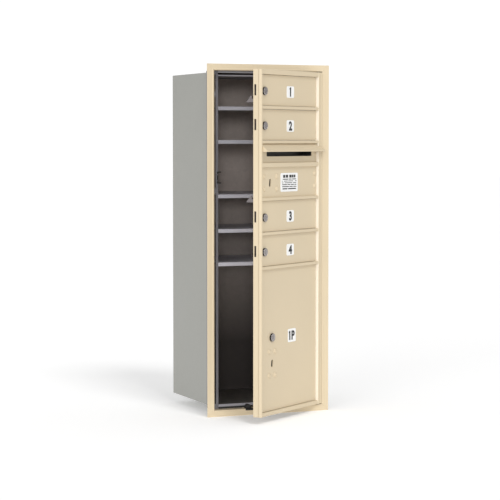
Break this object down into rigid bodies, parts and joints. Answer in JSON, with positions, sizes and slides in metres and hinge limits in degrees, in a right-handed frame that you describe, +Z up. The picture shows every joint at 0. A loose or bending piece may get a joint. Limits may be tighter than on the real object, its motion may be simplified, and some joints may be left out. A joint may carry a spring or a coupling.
{
  "type": "cluster mailbox unit",
  "caption": "Recess-mounted mailbox cabinet in a trim frame; a hinged door frame carries lockable letter doors, a hooded mail slot, a collection panel and a parcel door.",
  "frame": {"origin": "centre of the underside of the cabinet body, which stands on the recess sill", "axes": "+X to the right seen from the front, +Y into the wall, +Z up"},
  "size_m": [0.36, 0.5109, 0.9525],
  "materials": {
    "trim_paint": "satin powder coat, sandstone beige",
    "door_paint": "satin powder coat, sandstone beige",
    "cabinet_sheet": "dull galvanised sheet, grey",
    "shelf_sheet": "mill finish sheet, light blue-grey",
    "zinc_steel": "zinc plated",
    "lock_nickel": "nickel plated, lightly brushed",
    "placard": "white, smooth",
    "black_parts": "matt black"
  },
  "bodies": {
    "cabinet": {"trim_left": "trim_paint", "trim_right": "trim_paint", "trim_top": "trim_paint", "trim_bottom": "trim_paint", "jamb_left": "shelf_sheet", "jamb_right": "shelf_sheet", "side_panel_left": "cabinet_sheet", "side_panel_right": "cabinet_sheet", "top_panel": "cabinet_sheet", "bottom_panel": "cabinet_sheet", "back_panel": "cabinet_sheet", "shelves": "shelf_sheet", "rivets": "zinc_steel", "frame_hinge_leaf": "door_paint", "hinge_rod": "zinc_steel", "strike_plate": "black_parts", "sill_catch": "black_parts"},
    "door_frame": {"door_hinge_leaf": "door_paint", "lock_stile": "door_paint", "lock_edge_plate": "door_paint", "hinge_stile": "door_paint", "head_rail": "door_paint", "foot_rail": "door_paint", "cross_rails": "door_paint", "outgoing_panel": "door_paint", "hood": "door_paint", "slot_baffle": "black_parts", "collection_panel": "door_paint", "panel_bolts": "door_paint", "notice_plate": "placard", "latch_studs": "zinc_steel", "arrow_case": "zinc_steel", "leaf_pins": "zinc_steel"},
    "latch_bar": {"latch_bar": "zinc_steel"},
    "master_plug": {"arrow_plug": "black_parts"},
    "master_bolt": {"arrow_bolt": "zinc_steel"},
    "letter_leaf_1": {"letter_door_1": "door_paint", "number_plate_1": "placard", "letter_lock_1": "lock_nickel"},
    "letter_cam_1": {"lock_cam_1": "lock_nickel"},
    "letter_leaf_2": {"letter_door_2": "door_paint", "number_plate_2": "placard", "letter_lock_2": "lock_nickel"},
    "letter_cam_2": {"lock_cam_2": "lock_nickel"},
    "letter_leaf_3": {"letter_door_3": "door_paint", "number_plate_3": "placard", "letter_lock_3": "lock_nickel"},
    "letter_cam_3": {"lock_cam_3": "lock_nickel"},
    "letter_leaf_4": {"letter_door_4": "door_paint", "number_plate_4": "placard", "letter_lock_4": "lock_nickel"},
    "letter_cam_4": {"lock_cam_4": "lock_nickel"},
    "parcel_leaf": {"parcel_door": "door_paint", "parcel_plate": "placard", "parcel_lock_body": "lock_nickel", "parcel_arrow_case": "zinc_steel", "parcel_bolts": "door_paint"},
    "parcel_cam": {"parcel_lock_cam": "lock_nickel"},
    "parcel_bar": {"parcel_lock_bar": "zinc_steel"},
    "parcel_master_plug": {"parcel_arrow_plug": "black_parts"}
  },
  "joints": [
    {"name": "door_frame_hinge", "type": "hinge", "parent": "cabinet", "child": "door_frame", "pos_m": [0.1575, -0.1725, 0.45], "axis": [0, 0, 1], "range_deg": [-35, 55]},
    {"name": "letter_door_1_hinge", "type": "hinge", "parent": "door_frame", "child": "letter_leaf_1", "pos_m": [0.13595, -0.17538, 0.85275], "axis": [0, 0, 1], "range_deg": [0, 90]},
    {"name": "letter_lock_1_turn", "type": "hinge", "parent": "letter_leaf_1", "child": "letter_cam_1", "pos_m": [-0.08432, -0.32839, 0.85025], "axis": [-0.5736, 0.8192, 0], "range_deg": [0, 90]},
    {"name": "letter_door_2_hinge", "type": "hinge", "parent": "door_frame", "child": "letter_leaf_2", "pos_m": [0.13595, -0.17538, 0.76225], "axis": [0, 0, 1], "range_deg": [0, 90]},
    {"name": "letter_lock_2_turn", "type": "hinge", "parent": "letter_leaf_2", "child": "letter_cam_2", "pos_m": [-0.08432, -0.32839, 0.75975], "axis": [-0.5736, 0.8192, 0], "range_deg": [0, 90]},
    {"name": "letter_door_3_hinge", "type": "hinge", "parent": "door_frame", "child": "letter_leaf_3", "pos_m": [0.13595, -0.17538, 0.52125], "axis": [0, 0, 1], "range_deg": [0, 90]},
    {"name": "letter_lock_3_turn", "type": "hinge", "parent": "letter_leaf_3", "child": "letter_cam_3", "pos_m": [-0.08432, -0.32839, 0.51875], "axis": [-0.5736, 0.8192, 0], "range_deg": [0, 90]},
    {"name": "letter_door_4_hinge", "type": "hinge", "parent": "door_frame", "child": "letter_leaf_4", "pos_m": [0.13595, -0.17538, 0.43075], "axis": [0, 0, 1], "range_deg": [0, 90]},
    {"name": "letter_lock_4_turn", "type": "hinge", "parent": "letter_leaf_4", "child": "letter_cam_4", "pos_m": [-0.08432, -0.32839, 0.42825], "axis": [-0.5736, 0.8192, 0], "range_deg": [0, 90]},
    {"name": "parcel_door_hinge", "type": "hinge", "parent": "door_frame", "child": "parcel_leaf", "pos_m": [0.13595, -0.17538, 0.192], "axis": [0, 0, 1], "range_deg": [0, 90]},
    {"name": "parcel_lock_turn", "type": "hinge", "parent": "parcel_leaf", "child": "parcel_cam", "pos_m": [-0.05319, -0.3066, 0.1995], "axis": [-0.5736, 0.8192, 0], "range_deg": [0, 90]},
    {"name": "parcel_bar_slide", "type": "slide", "parent": "parcel_leaf", "child": "parcel_bar", "axis": [-0.8192, -0.5736, 0], "range_m": [0, 0.011]},
    {"name": "parcel_master_turn", "type": "hinge", "parent": "parcel_leaf", "child": "parcel_master_plug", "pos_m": [-0.05614, -0.2989, 0.13], "axis": [-0.5736, 0.8192, 0], "range_deg": [0, 90]},
    {"name": "master_lock_turn", "type": "hinge", "parent": "door_frame", "child": "master_plug", "pos_m": [-0.06351, -0.30406, 0.6095], "axis": [-0.5736, 0.8192, 0], "range_deg": [0, 90]},
    {"name": "master_bolt_slide", "type": "slide", "parent": "door_frame", "child": "master_bolt", "axis": [-0.8192, -0.5736, 0], "range_m": [0, 0.016]},
    {"name": "latch_bar_slide", "type": "slide", "parent": "door_frame", "child": "latch_bar", "axis": [0, 0, 1], "range_m": [0, 0.008]}
  ],
  "couplings": [
    {"joint": "master_lock_turn", "follows": "latch_bar_slide", "rad_per_m": 196.35},
    {"joint": "master_bolt_slide", "follows": "latch_bar_slide", "ratio": 1.9999},
    {"joint": "parcel_bar_slide", "follows": "parcel_lock_turn", "m_per_rad": 0.007002}
  ]
}
